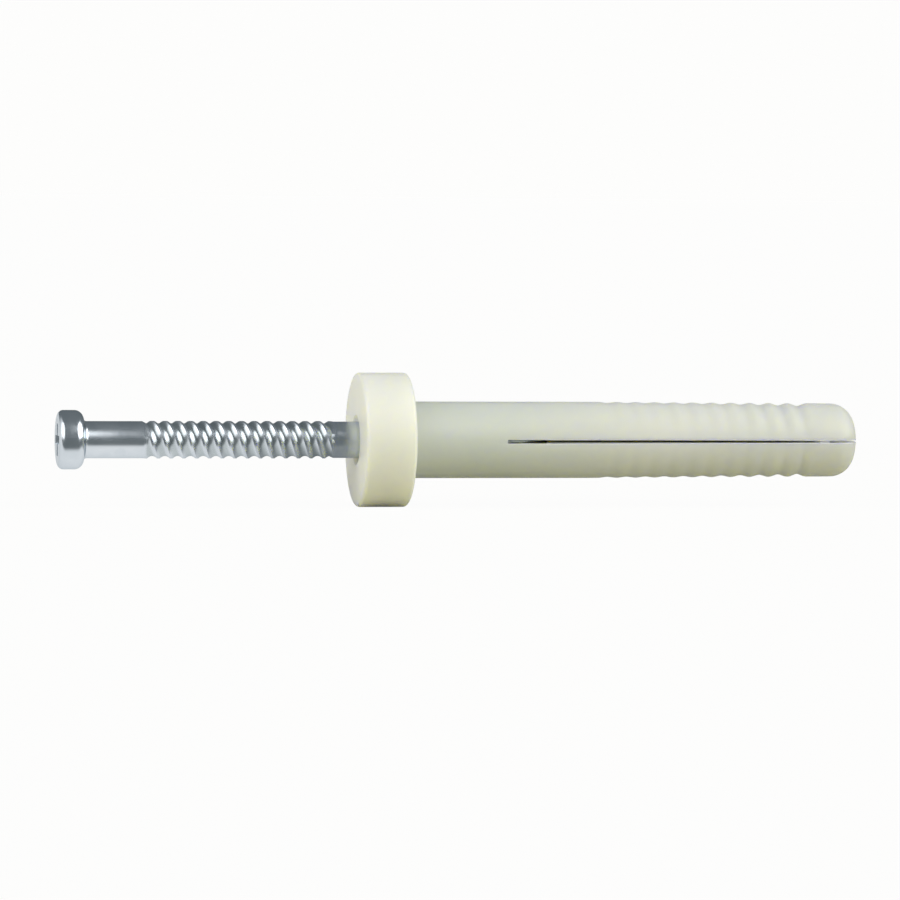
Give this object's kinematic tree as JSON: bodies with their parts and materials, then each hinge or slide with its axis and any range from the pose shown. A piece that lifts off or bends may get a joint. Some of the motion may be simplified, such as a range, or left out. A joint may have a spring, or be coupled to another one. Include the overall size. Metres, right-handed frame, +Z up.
{
  "type": "hammer fixing plug",
  "caption": "Hammer-set wall fixing: a split, ribbed nylon plug with a thick round collar, and a zinc-plated steel screw with a coarse thread set part way into it.",
  "frame": {"origin": "centre of the collar's bearing face, where the plug enters the wall", "axes": "+X along the plug's axis, from the screw's head to the plug's tip; +Z up, with the slot between the two legs level in the XY plane"},
  "size_m": [0.0634, 0.0104, 0.0104],
  "materials": {
    "nylon": "natural ivory nylon, satin, slightly translucent",
    "zinc_steel": "bright zinc plated"
  },
  "bodies": {
    "plug": {"plug": "nylon"},
    "screw": {"hammer_screw": "zinc_steel"}
  },
  "joints": [
    {"name": "drive_home", "type": "slide", "parent": "plug", "child": "screw", "axis": [1, 0, 0], "range_m": [0, 0.02135]}
  ]
}
